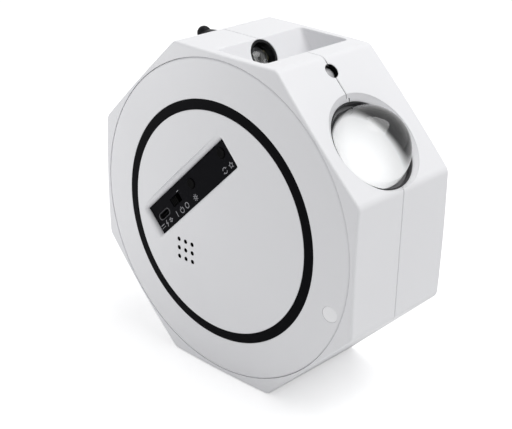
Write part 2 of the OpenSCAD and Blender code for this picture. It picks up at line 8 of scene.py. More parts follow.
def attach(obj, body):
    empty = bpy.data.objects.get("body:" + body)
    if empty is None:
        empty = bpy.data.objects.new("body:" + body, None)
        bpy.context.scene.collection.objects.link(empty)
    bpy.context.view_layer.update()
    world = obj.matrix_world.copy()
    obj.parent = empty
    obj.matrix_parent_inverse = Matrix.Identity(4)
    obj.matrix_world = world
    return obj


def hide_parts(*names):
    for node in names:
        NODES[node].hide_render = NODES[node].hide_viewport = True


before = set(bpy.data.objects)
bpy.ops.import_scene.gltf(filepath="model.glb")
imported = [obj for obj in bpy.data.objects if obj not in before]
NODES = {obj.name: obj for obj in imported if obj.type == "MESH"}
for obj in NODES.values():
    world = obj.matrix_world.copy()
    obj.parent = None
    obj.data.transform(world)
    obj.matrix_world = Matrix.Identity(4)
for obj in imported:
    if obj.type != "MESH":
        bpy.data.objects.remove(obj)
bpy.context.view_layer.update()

# ---- Dimensions, in millimetres, in the part's own frame ----

MM = 0.001

# Housing
ACROSS = 150.0                     # across the flats
HALF = ACROSS / 2
FLAT = 59.2                        # length of a level or upright flat
EDGE_R = 4.5                       # edges that run from front to back
WALL = 2.6
CORNER_Y = 30.0                    # depth of the front and back corners
DOME_H = 5.5                       # rise of the domed faces above the corners
RIM_R = 1.0                        # fillet between the flats and the domed faces
SOFT = 0.25                        # small edge rounding
CLEAR = 5                          # cutters stand this far out of a surface
OUTSIDE_Y = 45                     # a depth outside the domed faces
SLANT = (HALF + FLAT / 2) / 2      # a slanted flat's middle, from the centre along X and Z
CORNER_DIST = math.hypot(HALF, FLAT / 2)
DOME_R = (CORNER_DIST ** 2 + DOME_H ** 2) / (2 * DOME_H)
DOME_AT = DOME_R - CORNER_Y - DOME_H

# Seam between the two shells
SEAM_Y = -1.2
SEAM = 0.15                        # each shell stays this far from it
TONGUE = 1.5                       # the front shell's tongue reaches this far past it
TONGUE_SIDE = 0.3                  # gap beside the tongue
TONGUE_END = 0.45                  # gap at the tongue's end

# Screws and cooling slots in the back
SCREWS = ((10, 51), (-64.2, 26.6), (-26.6, -64.2), (64.2, -26.6))   # X, height above the centre
BOSS_R = 4.6
BOSS_Y = 0.5
BOSS_LEN = 32
WELL_R = 3.0
WELL_Y = 20.0
SLOT_COUNT = 7
SLOT_PITCH = 8
SLOT_W = 2.2
SLOT_Y = 22                        # they are cut from the back to this depth
SLOT_LEN = 26                      # the middle slot; the others are shorter
SLOT_Z = -22                       # their middle, from the centre

# Round front plate and its ring
PLATE_R = 72.6
PLATE_GAP = 0.15
PLATE_EDGE = 0.9
PLATE_T = 2.5
SEAT_Y = -28.4
LEDGE_Y = -26.0
LEDGE_R = 66.0
RING_IN = 50.7
RING_OUT = 55.2
RING_T = 1.2
RING_PROUD = 0.12

# Control panel, at 45 degrees
PANEL_X = -16.0
PANEL_Y = -31.8
PANEL_Z = HALF + 11.6
PANEL_LEN = 66.5
PANEL_W = 14.0
PANEL_T = 1.6
BOARD_Y = -24.6                    # front of the board behind it
LIP_R = 2.2                        # rounding of the pocket's edge
SOCKET_U = -26.25
SOCKET_V = 0.0
SOCKET_W = 8.9
SOCKET_H = 3.4
SWITCH_U = -13.95
SWITCH_V = 1.2
SLIDER_W = 4.2
SLIDER_H = 3.4
TRAVEL = 2.6
BUTTONS = {"light_button": (0.45, 2.0), "mode_button": (27.05, 2.8)}
BUTTON_R = 2.4

# Speaker grille and remote window
GRILLE_X = -17.3
GRILLE_Z = HALF - 18.2
GRILLE_PITCH = 4.3
GRILLE_R = 1.05
SPEAKER_R = 9.0
SPEAKER_Y = -33.5
COLLAR_Y = -29
WINDOW_R = 3.7
WINDOW_DIST = 67.4                 # from the middle of the front
WINDOW_DIP = math.radians(17.6)    # below the level through the middle

# Projection lens
LENS_OFF = 9.8                     # from the middle of its flat
LENS_BORE = 20.7
LENS_R = 18.35
LENS_RIM = 2.1                     # depth of the lens chamfer
LIP_GROW = 1.1                     # growth of that chamfer for each unit of height
LIP_SHIFT = 0.25                   # its shift for each unit of height
LENS_DEPTH = 5.9                   # the half ball's widest place, below the flat
LENS_SEAT = 6.3
LENS_BACK = 9.4
BARREL_FRONT = 2.3
BARREL_LIP = 5.0
BARREL_END = 21.7
SEAT_R = 20.0
BACK_WINDOW_X = 1.0                # white window behind the lens
BACK_WINDOW_R = 11.7
BACK_WINDOW_SOFT = 0.9
BACK_PAINTED_GLOW = 0.1                    # painted light: a faint glow painted into that window

# Small outlet beside the lens
PILOT_X = -34.9
PILOT_R = 3.3
OUTLET_BACK = -10.2
OUTLET_TOP = -2.2

# Finger notch, and the small lens in its sloping wall
NOTCH_L = -7.5
NOTCH_R = 20.3
NOTCH_D = 18.5
NOTCH_LEN = 53.0
NOTCH_SLOPE = math.radians(57)
NOTCH_LEAN = math.radians(80)
NOTCH_WALL = 2.4
BLOCK_END = 28.5                   # its walls reach this far to the front and the back
NOTCH_EDGE = 0.4
NOTCH_CORNER = 2.2
NOTCH_FLOOR_R = 1.6
SIDE_Q = 8.0                       # down the sloping wall
SIDE_R = 7.4

# Knob
KNOB_U = 21.7                      # along its flat, from the middle
KNOB_GAP = 0.8
KNOB_HOLE_R = 4.1
KNOB_R = 6.9
KNOB_RIM = 1.2
KNOB_H = 7.7
FLARE_R = 4.6                      # the skirt's slope bends towards this radius
FLARE_Z = 3.1
CROWN_R = 3.2
CROWN_Z = 4.3


def at(x, y, z):
    return Matrix.Translation((x, y, z))


def turned(degrees, axis):
    return Matrix.Rotation(math.radians(degrees), 4, axis)


# Local +Z points out of the surface in each of these places
ON_LENS = at(SLANT, SEAM_Y, HALF + SLANT) @ turned(45, "Y") @ at(LENS_OFF, 0, 0)
ON_KNOB = at(-SLANT, SEAM_Y, HALF + SLANT) @ turned(-45, "Y") @ at(KNOB_U, 0, 0)
SIDE_X = NOTCH_L + SIDE_Q * math.cos(NOTCH_SLOPE)
SIDE_Z = ACROSS - SIDE_Q * math.sin(NOTCH_SLOPE)
ON_SIDE = at(SIDE_X, SEAM_Y, SIDE_Z) @ Matrix.Rotation(NOTCH_SLOPE, 4, "Y")
DIPPED = at(0, DOME_AT, HALF) @ Matrix.Rotation(WINDOW_DIP, 4, "Y")
OUTWARD = Matrix.Rotation(math.asin(WINDOW_DIST / DOME_R), 4, "Z")
ON_WINDOW = DIPPED @ OUTWARD @ at(0, -DOME_R, 0) @ turned(90, "X")
FACING_FRONT = at(0, 0, HALF) @ turned(90, "X")      # local X right, local Y up


def on_panel(y):
    """The place of the panel at depth y: local X runs up the panel, local +Z out of the front."""
    return at(PANEL_X, y, PANEL_Z) @ turned(90, "X") @ turned(45, "Z")


# ---- Mesh helpers ----

def make(name, verts, faces, place=None):
    """A mesh object from points in millimetres."""
    place = place or Matrix.Identity(4)
    mesh = bpy.data.meshes.new(name)
    mesh.from_pydata([MM * (place @ Vector(v)) for v in verts], [], faces)
    bm = bmesh.new()
    bm.from_mesh(mesh)
    bmesh.ops.remove_doubles(bm, verts=bm.verts, dist=1e-7)
    bmesh.ops.recalc_face_normals(bm, faces=bm.faces)
    bm.to_mesh(mesh)
    bm.free()
    obj = bpy.data.objects.new(name, mesh)
    bpy.context.scene.collection.objects.link(obj)
    return obj


def bridge(a, b, n):
    """Quads between the ring of n points that starts at index a and the one that starts at b."""
    return [(a + k, a + (k + 1) % n, b + (k + 1) % n, b + k) for k in range(n)]


def loft(name, rings, place=None, closed=False):
    """A solid through rings of equal length. The end rings are capped, or joined where it is closed."""
    n = len(rings[0])
    faces = []
    for i in range(len(rings) if closed else len(rings) - 1):
        faces += bridge(i * n, (i + 1) % len(rings) * n, n)
    if not closed:
        last = (len(rings) - 1) * n
        faces += [tuple(range(n)), tuple(range(last, last + n))]
    return make(name, [p for ring in rings for p in ring], faces, place)


def circle(r, z, n=96, x=0.0, y=0.0):
    angles = [math.tau * k / n for k in range(n)]
    return [(x + r * math.cos(a), y + r * math.sin(a), z) for a in angles]


def lathe(name, profile, place=None, n=96, closed=False):
    """A turned solid from (radius, height) points. It starts and ends at the axis, or is closed."""
    thinnest = 0.0005
    return loft(name, [circle(max(r, thinnest), z, n) for r, z in profile], place, closed)


def cylinder(name, r, z0, z1, place, n=64):
    return lathe(name, [(0, z0), (r, z0), (r, z1), (0, z1)], place, n)


def quarter(steps, first=0):
    """Even steps through a quarter turn, each as (1 - cos, 1 - sin)."""
    angles = [math.pi / 2 * k / steps for k in range(first, steps + 1)]
    return [(1 - math.cos(a), 1 - math.sin(a)) for a in angles]


def rounded_rect(w, h, r, z, x=0.0, y=0.0, steps=5):
    """A ring of points round a rectangle with round corners."""
    r = min(r, w / 2 - 0.001, h / 2 - 0.001)
    ring = []
    for i, (sx, sy) in enumerate(((1, 1), (-1, 1), (-1, -1), (1, -1))):
        corner_x = x + sx * (w / 2 - r)
        corner_y = y + sy * (h / 2 - r)
        for k in range(steps + 1):
            a = math.pi / 2 * (i + k / steps)
            ring.append((corner_x + r * math.cos(a), corner_y + r * math.sin(a), z))
    return ring


def boolean(obj, tools, operation="DIFFERENCE"):
    """Applies each tool to obj."""
    for tool in tools:
        step = obj.modifiers.new("step", "BOOLEAN")
        step.operation = operation
        step.solver = "MANIFOLD"
        step.object = tool
    graph = bpy.context.evaluated_depsgraph_get()
    done = bpy.data.meshes.new_from_object(obj.evaluated_get(graph))
    obj.modifiers.clear()
    obj.data = done


def discard(tools):
    for tool in tools:
        bpy.data.objects.remove(tool)


def smooth(obj, degrees=32):
    """Smooth shading with sharp edges above that angle, and normals that follow the large faces."""
    obj.data.shade_smooth()
    obj.data.set_sharp_from_angle(angle=math.radians(degrees))
    weighted = obj.modifiers.new("normals", "WEIGHTED_NORMAL")
    weighted.keep_sharp = True
    return obj


def dress(obj, material, body="housing", stands_for=()):
    """Gives a new piece its material and body, and hides the nodes that it replaces."""
    obj.data.materials.clear()
    obj.data.materials.append(material)
    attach(obj, body)
    if stands_for:
        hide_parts(*stands_for)
    return obj


def second_material(obj, material, chosen):
    """Gives another material to the faces for which chosen(centre in millimetres, normal) holds."""
    obj.data.materials.append(material)
    for face in obj.data.polygons:
        if chosen(face.center / MM, face.normal):
            face.material_index = 1


# ---- Camera and light ----

CAMERA_AT = (336.128, -371.579, 291.662)
CAMERA_HEADING = 42.737            # degrees
CAMERA_PITCH = -23.967
CAMERA_ROLL = 1.248
CAMERA_LENS = 84.892


def make_camera():
    data = bpy.data.cameras.new("camera")
    data.lens = CAMERA_LENS
    data.sensor_width = 36
    data.sensor_fit = "HORIZONTAL"
    data.clip_start = 0.01
    data.clip_end = 50
    cam = bpy.data.objects.new("camera", data)
    aim = turned(CAMERA_HEADING, "Z") @ turned(90 + CAMERA_PITCH, "X") @ turned(CAMERA_ROLL, "Z")
    cam.matrix_world = Matrix.Translation(MM * Vector(CAMERA_AT)) @ aim
    bpy.context.scene.collection.objects.link(cam)
    bpy.context.scene.camera = cam


def area_light(name, where, size, power):
    """A soft square lamp, in metres, aimed at the middle of the object."""
    data = bpy.data.lights.new(name, "AREA")
    data.shape = "RECTANGLE"
    data.size = size
    data.size_y = size
    data.energy = power
    lamp = bpy.data.objects.new(name, data)
    aim = Vector((0, 0, HALF * MM)) - Vector(where)
    turn = aim.to_track_quat("-Z", "Y").to_matrix().to_4x4()
    lamp.matrix_world = Matrix.Translation(where) @ turn
    lamp.visible_camera = False
    bpy.context.scene.collection.objects.link(lamp)


def sees_directly(nodes, links):
    """1 for rays from the camera, and for those that metal and glass send on to the background."""
    path = nodes.new("ShaderNodeLightPath")
    total = path.outputs["Is Camera Ray"]
    for name in ("Is Glossy Ray", "Is Transmission Ray"):
        add = nodes.new("ShaderNodeMath")
        add.operation = "ADD"
        add.use_clamp = True
        links.new(total, add.inputs[0])
        links.new(path.outputs[name], add.inputs[1])
        total = add.outputs[0]
    return total


SKY_LEVEL = 0.5
SKY_COLOUR = (0.98, 0.985, 1.0, 1)
WHITE = (1, 1, 1, 1)
FLOOR_LIFT = 0.4                   # extra light of the floor for the camera, so that it reads as white
FLOOR_REACH = 3000


def make_world():
    """Plain soft light from all round, and a white background where it is seen."""
    world = bpy.data.worlds.new("studio")
    bpy.context.scene.world = world
    world.use_nodes = True
    nodes, links = world.node_tree.nodes, world.node_tree.links
    nodes.clear()
    light = nodes.new("ShaderNodeBackground")
    light.inputs["Color"].default_value = SKY_COLOUR
    light.inputs["Strength"].default_value = SKY_LEVEL
    seen = nodes.new("ShaderNodeBackground")
    seen.inputs["Color"].default_value = WHITE
    seen.inputs["Strength"].default_value = 1
    mix = nodes.new("ShaderNodeMixShader")
    links.new(sees_directly(nodes, links), mix.inputs[0])
    links.new(light.outputs[0], mix.inputs[1])
    links.new(seen.outputs[0], mix.inputs[2])
    links.new(mix.outputs[0], nodes.new("ShaderNodeOutputWorld").inputs[0])


def floor_material():
    material = bpy.data.materials.new("floor")
    material.use_nodes = True
    nodes, links = material.node_tree.nodes, material.node_tree.links
    shader = nodes["Principled BSDF"]
    shader.inputs["Base Color"].default_value = (0.9, 0.9, 0.9, 1)
    shader.inputs["Roughness"].default_value = 0.9
    shader.inputs["Specular IOR Level"].default_value = 0.1
    noise = nodes.new("ShaderNodeTexNoise")
    noise.inputs["Scale"].default_value = 60
    bump = nodes.new("ShaderNodeBump")
    bump.inputs["Strength"].default_value = 0.02
    links.new(noise.outputs["Fac"], bump.inputs["Height"])
    links.new(bump.outputs[0], shader.inputs["Normal"])
    lift = nodes.new("ShaderNodeMath")
    lift.operation = "MULTIPLY"
    lift.inputs[1].default_value = FLOOR_LIFT
    links.new(nodes.new("ShaderNodeLightPath").outputs["Is Camera Ray"], lift.inputs[0])
    links.new(lift.outputs[0], shader.inputs["Emission Strength"])
    shader.inputs["Emission Color"].default_value = WHITE
    return material


def make_floor():
    """A pale floor that keeps the object's shadow."""
    signs = ((-1, -1), (1, -1), (1, 1), (-1, 1))
    corners = [(FLOOR_REACH * x, FLOOR_REACH * y, 0) for x, y in signs]
    floor = make("floor", corners, [(0, 1, 2, 3)])
    floor.data.materials.append(floor_material())


# ---- Materials ----

def plastic(name, colour, roughness, grain=0.02, vary=0.02, coat=0.0, shine=0.5):
    """Moulded plastic: a fine grain in the surface, slow changes of tone, and uneven gloss."""
    material = bpy.data.materials.new(name)
    material.use_nodes = True
    nodes, links = material.node_tree.nodes, material.node_tree.links
    shader = nodes["Principled BSDF"]
    shader.inputs["IOR"].default_value = 1.46
    shader.inputs["Specular IOR Level"].default_value = shine
    shader.inputs["Coat Weight"].default_value = coat
    shader.inputs["Coat Roughness"].default_value = 0.08
    where = nodes.new("ShaderNodeTexCoord").outputs["Object"]

    def noise(scale, detail):
        node = nodes.new("ShaderNodeTexNoise")
        node.inputs["Scale"].default_value = scale
        node.inputs["Detail"].default_value = detail
        links.new(where, node.inputs["Vector"])
        return node.outputs["Fac"]

    def spread(source, low, high):
        node = nodes.new("ShaderNodeMapRange")
        node.inputs["To Min"].default_value = low
        node.inputs["To Max"].default_value = high
        links.new(source, node.inputs["Value"])
        return node.outputs[0]

    slow = noise(22, 3)
    fine = noise(2500, 2)
    base = nodes.new("ShaderNodeMix")
    base.data_type = "RGBA"
    base.blend_type = "MULTIPLY"
    base.inputs["Factor"].default_value = 1
    base.inputs["A"].default_value = (*colour, 1)
    links.new(spread(slow, 1 - vary, 1 + vary), base.inputs["B"])
    links.new(base.outputs["Result"], shader.inputs["Base Color"])
    gloss = spread(fine, roughness * 0.85, min(1.0, roughness * 1.15))
    links.new(gloss, shader.inputs["Roughness"])
    bump = nodes.new("ShaderNodeBump")
    bump.inputs["Strength"].default_value = grain
    bump.inputs["Distance"].default_value = 0.0002
    links.new(fine, bump.inputs["Height"])
    links.new(bump.outputs[0], shader.inputs["Normal"])
    return material


def metal(name, colour, roughness, streak=(1, 1, 30)):
    """Drawn or brushed metal: streaks in the gloss and a little in the height."""
    material = plastic(name, colour, roughness, grain=0.03, vary=0.06)
    nodes, links = material.node_tree.nodes, material.node_tree.links
    nodes["Principled BSDF"].inputs["Metallic"].default_value = 1
    stretch = nodes.new("ShaderNodeMapping")
    stretch.inputs["Scale"].default_value = streak
    coordinates = next(n for n in nodes if n.type == "TEX_COORD")
    links.new(coordinates.outputs["Object"], stretch.inputs["Vector"])
    for node in nodes:
        if node.type == "TEX_NOISE":
            links.new(stretch.outputs[0], node.inputs["Vector"])
    return material


def clear(name, colour):
    """Polished glass that lets light through, with faint smudges in its gloss."""
    material = bpy.data.materials.new(name)
    material.use_nodes = True
    nodes, links = material.node_tree.nodes, material.node_tree.links
    shader = nodes["Principled BSDF"]
    shader.inputs["Base Color"].default_value = (*colour, 1)
    shader.inputs["Transmission Weight"].default_value = 1
    shader.inputs["IOR"].default_value = 1.5
    smudge = nodes.new("ShaderNodeTexNoise")
    smudge.inputs["Scale"].default_value = 140
    links.new(nodes.new("ShaderNodeTexCoord").outputs["Object"], smudge.inputs["Vector"])
    gloss = nodes.new("ShaderNodeMapRange")
    gloss.inputs["To Min"].default_value = 0
    gloss.inputs["To Max"].default_value = 0.02
    links.new(smudge.outputs["Fac"], gloss.inputs["Value"])
    links.new(gloss.outputs[0], shader.inputs["Roughness"])
    return material


def lens_back_material():
    """The flat rear face of the lens: a white window with a soft edge, and black round it. The window also
    has a faint painted glow.
    """
    white = (0.95, 0.95, 0.95)
    material = plastic("lens_back", white, 0.6, grain=0.1, vary=0.02, shine=0.1)
    nodes, links = material.node_tree.nodes, material.node_tree.links
    shader = nodes["Principled BSDF"]
    apart = nodes.new("ShaderNodeVectorMath")
    apart.operation = "DISTANCE"
    apart.inputs[1].default_value = MM * (ON_LENS @ Vector((BACK_WINDOW_X, 0, -LENS_BACK)))
    links.new(nodes.new("ShaderNodeTexCoord").outputs["Object"], apart.inputs[0])
    edge = nodes.new("ShaderNodeMapRange")
    edge.interpolation_type = "SMOOTHSTEP"
    edge.inputs["From Min"].default_value = MM * (BACK_WINDOW_R - BACK_WINDOW_SOFT)
    edge.inputs["From Max"].default_value = MM * (BACK_WINDOW_R + BACK_WINDOW_SOFT)
    links.new(apart.outputs["Value"], edge.inputs["Value"])
    blend = nodes.new("ShaderNodeMix")
    blend.data_type = "RGBA"
    blend.inputs["B"].default_value = (0.01, 0.01, 0.012, 1)
    links.new(edge.outputs[0], blend.inputs["Factor"])
    links.new(shader.inputs["Base Color"].links[0].from_socket, blend.inputs["A"])
    links.new(blend.outputs["Result"], shader.inputs["Base Color"])
    # painted light: the window glows faintly, fading out at its soft edge
    painted_glow = nodes.new("ShaderNodeMapRange")
    painted_glow.inputs["To Min"].default_value = BACK_PAINTED_GLOW
    painted_glow.inputs["To Max"].default_value = 0
    links.new(edge.outputs[0], painted_glow.inputs["Value"])
    links.new(painted_glow.outputs[0], shader.inputs["Emission Strength"])
    shader.inputs["Emission Color"].default_value = WHITE
    return material


# ---- Housing ----

ARC_STEPS = 8
FLAT_STEPS = 12
EIGHTHS = [math.tau * k / 8 for k in range(8)]


def between(a, b, f):
    return [(p[0] + (q[0] - p[0]) * f, p[1] + (q[1] - p[1]) * f) for p, q in zip(a, b)]


def outline(inset):
    """The octagon with rounded corners, grown inward by inset: X and the height above the centre."""
    level = HALF - EDGE_R
    end = FLAT / 2 - EDGE_R * math.tan(math.radians(22.5))
    corners = []
    for i in range(8):
        x, z = (level, end) if i % 2 == 0 else (end, level)
        for _ in range(i // 2):
            x, z = -z, x
        corners.append((x, z))
    r = EDGE_R - inset
    points = []
    for i, (x, z) in enumerate(corners):
        for k in range(ARC_STEPS + 1):
            a = math.radians(45 * (i + k / ARC_STEPS))
            points.append((x + r * math.cos(a), z + r * math.sin(a)))
        start = points[-1]
        next_x, next_z = corners[(i + 1) % 8]
        a = math.radians(45 * (i + 1))
        stop = (next_x + r * math.cos(a), next_z + r * math.sin(a))
        for k in range(1, FLAT_STEPS):
            points += between([start], [stop], k / FLAT_STEPS)
    return points


SPOKES = [math.atan2(z, x) for x, z in outline(0)]


def round_line(r):
    """A circle with one point for each point of the octagon."""
    return [(r * math.cos(a), r * math.sin(a)) for a in SPOKES]


def dome(distance, inward=0.0):
    """Depth of a domed face, from the middle of the part, at a distance from the axis."""
    return math.sqrt((DOME_R - inward) ** 2 - distance ** 2) - DOME_AT


def raised(points, side, y=None, below=0.0, inward=0.0):
    """Puts a line of points at depth y, or on the domed face of that side, a little below it."""
    ring = []
    for x, z in points:
        depth = y if y is not None else side * (dome(math.hypot(x, z), inward) - below)
        ring.append((x, depth, z + HALF))
    return ring


def outer_rings(side):
    """From the seam to the start of the domed face."""
    rings = [
        raised(outline(SOFT), side, SEAM_Y + side * SEAM),
        raised(outline(0), side, SEAM_Y + side * (SEAM + SOFT)),
        raised(outline(0), side, side * CORNER_Y / 2),
    ]
    for inward, drop in quarter(5):
        rings.append(raised(outline(RIM_R * inward), side, below=RIM_R * drop))
    return rings


def front_shell_body():
    """The front shell: a tube with a round opening for the plate and a tongue at the seam."""
    edge = PLATE_R + PLATE_GAP
    bend = 0.07                        # middle of the opening's rounded edge
    tongue = outline(WALL / 2 + TONGUE_SIDE)
    rings = outer_rings(-1)
    for f in (0.5, 1.0):
        rings.append(raised(between(outline(RIM_R), round_line(edge + SOFT), f), -1))
    rings.append(raised(round_line(edge + bend), -1, below=bend))
    rings.append(raised(round_line(edge), -1, below=SOFT))
    rings.append(raised(round_line(edge), -1, SEAT_Y))
    rings.append(raised(round_line(LEDGE_R), -1, SEAT_Y))
    rings.append(raised(round_line(LEDGE_R), -1, LEDGE_Y))
    rings.append(raised(outline(WALL), -1, LEDGE_Y))
    rings.append(raised(outline(WALL), -1, SEAM_Y + TONGUE))
    rings.append(raised(tongue, -1, SEAM_Y + TONGUE))
    rings.append(raised(tongue, -1, SEAM_Y - SEAM))
    return loft("front_housing", rings, closed=True)


def rear_shell_body():
    """The rear shell: an octagonal cup with a domed face and a rebate for the tongue."""
    rim = outline(RIM_R)
    inner = outline(WALL)
    rebate = outline(WALL / 2)
    rebate_y = SEAM_Y + TONGUE + TONGUE_END
    centre = round_line(0.4)
    shares = (0.12, 0.3, 0.5, 0.7, 0.86, 1.0)
    rings = [raised(rebate, 1, SEAM_Y + SEAM)] + outer_rings(1)
    rings += [raised(between(rim, centre, f), 1) for f in shares]
    last_outside = len(rings) - 1
    rings += [raised(between(inner, centre, f), 1, inward=WALL) for f in reversed(shares)]
    rings.append(raised(inner, 1, inward=WALL))
    rings.append(raised(inner, 1, rebate_y))
    rings.append(raised(rebate, 1, rebate_y))
    n = len(rim)
    faces = []
    for i in range(len(rings)):
        if i != last_outside:
            faces += bridge(i * n, (i + 1) % len(rings) * n, n)
    faces += [tuple(range(i * n, i * n + n)) for i in (last_outside, last_outside + 1)]
    return make("rear_housing", [p for ring in rings for p in ring], faces)


def notch_ring(depth, grow, y0, y1, r=NOTCH_CORNER):
    """The notch's outline seen from above, at a depth below the top flat."""
    left = NOTCH_L + depth / math.tan(NOTCH_SLOPE) - grow / math.sin(NOTCH_SLOPE)
    right = NOTCH_R - depth / math.tan(NOTCH_LEAN) + grow / math.sin(NOTCH_LEAN)
    x = (left + right) / 2
    return rounded_rect(right - left, y1 - y0, r, ACROSS - depth, x, (y0 + y1) / 2)


def notch_cutter():
    """The notch, with its upper edge and its floor rounded."""
    end = NOTCH_LEN / 2
    edge = NOTCH_EDGE
    rings = [notch_ring(-CLEAR, edge, -end - edge, end + edge, NOTCH_CORNER + edge)]
    for inward, drop in quarter(5):
        out = edge * drop
        rings.append(notch_ring(edge * inward, out, -end - out, end + out, NOTCH_CORNER + out))
    for inward, drop in quarter(5):
        inset = NOTCH_FLOOR_R * inward
        rings.append(notch_ring(NOTCH_D - NOTCH_FLOOR_R * drop, -inset, inset - end, end - inset))
    return loft("notch_cutter", rings)


def notch_block(y0, y1):
    """The walls of the notch inside the housing, from depth y0 to depth y1."""
    corner = 0.4
    rings = [notch_ring(d, NOTCH_WALL, y0, y1, corner) for d in (WALL / 2, NOTCH_D + NOTCH_WALL)]
    return loft("notch_block", rings)


def bore_cutter(place, r, deep, flare=0.3, x=0.0, n=64):
    """A round hole below local height 0, with its edge rounded."""
    rings = [circle(r, -deep, n, x)]
    for out, drop in quarter(4):
        rings.append(circle(r + flare * out, -flare * drop, n, x))
    rings.append(circle(r + flare, CLEAR, n, x))
    return loft("bore_cutter", rings, place)


def lens_cutter():
    """The lens opening: a bore, and a chamfer that widens towards the middle of the flat."""
    n = 128
    flare = 0.35
    top = LENS_RIM - flare
    top_r = LENS_BORE + LIP_GROW * top
    shift = -LIP_SHIFT * LENS_RIM
    rings = [
        circle(LENS_BORE, -14, n),
        circle(LENS_BORE, -LENS_RIM - 0.15, n),
        circle(LENS_BORE + 0.1, -LENS_RIM, n),
    ]
    for rise in (0.35 * top, 0.7 * top, top):
        rings.append(circle(LENS_BORE + LIP_GROW * rise, rise - LENS_RIM, n, -LIP_SHIFT * rise))
    for out, drop in quarter(4, 1):
        rings.append(circle(top_r + flare * (out + 0.1), -flare * drop, n, shift))
    rings.append(circle(top_r + flare * 1.1, CLEAR, n, shift))
    return loft("lens_cutter", rings, ON_LENS)


def through_dome(name, shape, side, inner_y, flare=0.25, steps=4):
    """A cutter through a domed face, with its edge rounded. shape(grow) gives X and height points."""
    rings = [raised(shape(0), side, inner_y)]
    for out, drop in quarter(steps):
        rings.append(raised(shape(flare * out), side, below=flare * drop))
    rings.append(raised(shape(flare), side, side * OUTSIDE_Y))
    return loft(name, rings)


def round_at(x, z, r, n=32):
    """A circle for through_dome."""
    return lambda grow: [p[:2] for p in circle(r + grow, 0, n, x, z)]


def slot_at(x, z, length, width):
    """An upright slot with round ends for through_dome."""
    def shape(grow):
        ring = rounded_rect(width + 2 * grow, length + 2 * grow, width / 2 + grow, 0, x, z, 8)
        return [p[:2] for p in ring]

    return shape


def in_lens_seam(point, normal):
    """Whether a face of a shell lies in the seam of the lens flat."""
    x, y, z = point
    reach = max(x * math.cos(a) + (z - HALF) * math.sin(a) for a in EIGHTHS)
    on_lens_flat = (x + z - HALF) / math.sqrt(2) > reach - 0.01
    tongue_middle = HALF - WALL / 2 - TONGUE_SIDE / 2
    step = abs(tongue_middle - reach) < TONGUE_SIDE and abs(normal.y) < 0.01
    near = SEAM_Y - 2 * SEAM < y < SEAM_Y + TONGUE + 1.2 * TONGUE_END
    return near and on_lens_flat and (step or abs(normal.y) > 0.99)


def in_outlet(point):
    """Whether a point is in line with the small outlet's bore, at any depth below the flat."""
    spot = ON_LENS.inverted() @ point - Vector((PILOT_X, 0, 0))
    return spot.z < -0.3 and math.hypot(spot.x, spot.y) < PILOT_R + 0.1


def is_dark(point, normal):
    """The faces of the shells that get painted shade in black: the seam of the lens flat and the walls of
    the outlet's bore.
    """
    return in_lens_seam(point, normal) or in_outlet(point)


def cooling_slots():
    """Cutters for the slots in the rear face. The middle one is the longest."""
    slots = []
    middle = SLOT_COUNT // 2
    for i in range(-middle, middle + 1):
        shape = slot_at(SLOT_PITCH * i, SLOT_Z, SLOT_LEN - 2 * abs(i), SLOT_W)
        slots.append(through_dome("slot", shape, 1, SLOT_Y))
    return slots


def build_housing(white, painted_shade_black):
    front = front_shell_body()
    rear = rear_shell_body()
    blocks = [notch_block(-BLOCK_END, SEAM_Y - SEAM), notch_block(SEAM_Y + SEAM, BLOCK_END)]
    boolean(front, blocks[:1], "UNION")
    bosses = []
    for x, z in SCREWS:
        bosses.append(cylinder("boss", BOSS_R, 0, BOSS_LEN, at(x, BOSS_Y, HALF + z) @ turned(-90, "X"), 48))
    boolean(rear, blocks[1:] + bosses, "UNION")
    tools = [
        notch_cutter(),
        lens_cutter(),
        bore_cutter(ON_LENS, PILOT_R, 14, 0.3, PILOT_X),
        bore_cutter(ON_KNOB, KNOB_HOLE_R, 8),
        bore_cutter(ON_SIDE, SIDE_R + 0.1, 8, 0.15),
    ]
    wells = [through_dome("well", round_at(x, z, WELL_R), 1, WELL_Y) for x, z in SCREWS]
    slots = cooling_slots()
    boolean(front, tools)
    boolean(rear, tools + wells + slots)
    discard(tools + blocks + bosses + wells + slots)
    for shell, node in ((front, "front_shell"), (rear, "rear_shell")):
        dress(smooth(shell), white, stands_for=[node])
        # painted shade: the seam faces of the lens flat and the outlet's bore walls are coloured black
        second_material(shell, painted_shade_black, is_dark)


# ---- Front plate, trim ring and window ----

def turned_front(name, profile, n=192, closed=False):
    """A turned piece about the housing's axis, from (radius, depth) points."""
    return lathe(name, [(r, -y) for r, y in profile], FACING_FRONT, n, closed)


def face_y(r, below=0.0, inward=0.0):
    """Depth of the domed front at a radius, or a little below it."""
    return below - dome(r, inward)


def plate_body():
    """The round plate: its face with the ring's groove, its rounded edge, and its back."""
    beside = 0.06                      # gap beside the ring
    soft = 0.12                        # rounding of the groove's edges
    groove_in = RING_IN - beside
    groove_out = RING_OUT + beside
    ledge = LEDGE_R - 0.2
    back = LEDGE_R - 2
    profile = [(0, face_y(0, 0.03))]   # just inside the CAD's box
    profile += [(r, face_y(r)) for r in (8, 16, 24, 32, 40, 46, groove_in - soft)]
    profile += [(groove_in, face_y(groove_in, drop)) for drop in (soft, RING_T)]
    profile += [(groove_out, face_y(groove_out, drop)) for drop in (RING_T, soft)]
    profile += [(r, face_y(r)) for r in (groove_out + soft, 60, 66, PLATE_R - PLATE_EDGE)]
    for drop, short in quarter(3, 1):
        profile.append((PLATE_R - PLATE_EDGE * short, face_y(PLATE_R, PLATE_EDGE * drop)))
    profile += [(PLATE_R, SEAT_Y), (ledge, SEAT_Y), (ledge, LEDGE_Y), (back, LEDGE_Y)]
    profile += [(r, face_y(r, inward=PLATE_T)) for r in (back, 50, 35, 20, 0)]
    return turned_front("front_cover", profile)


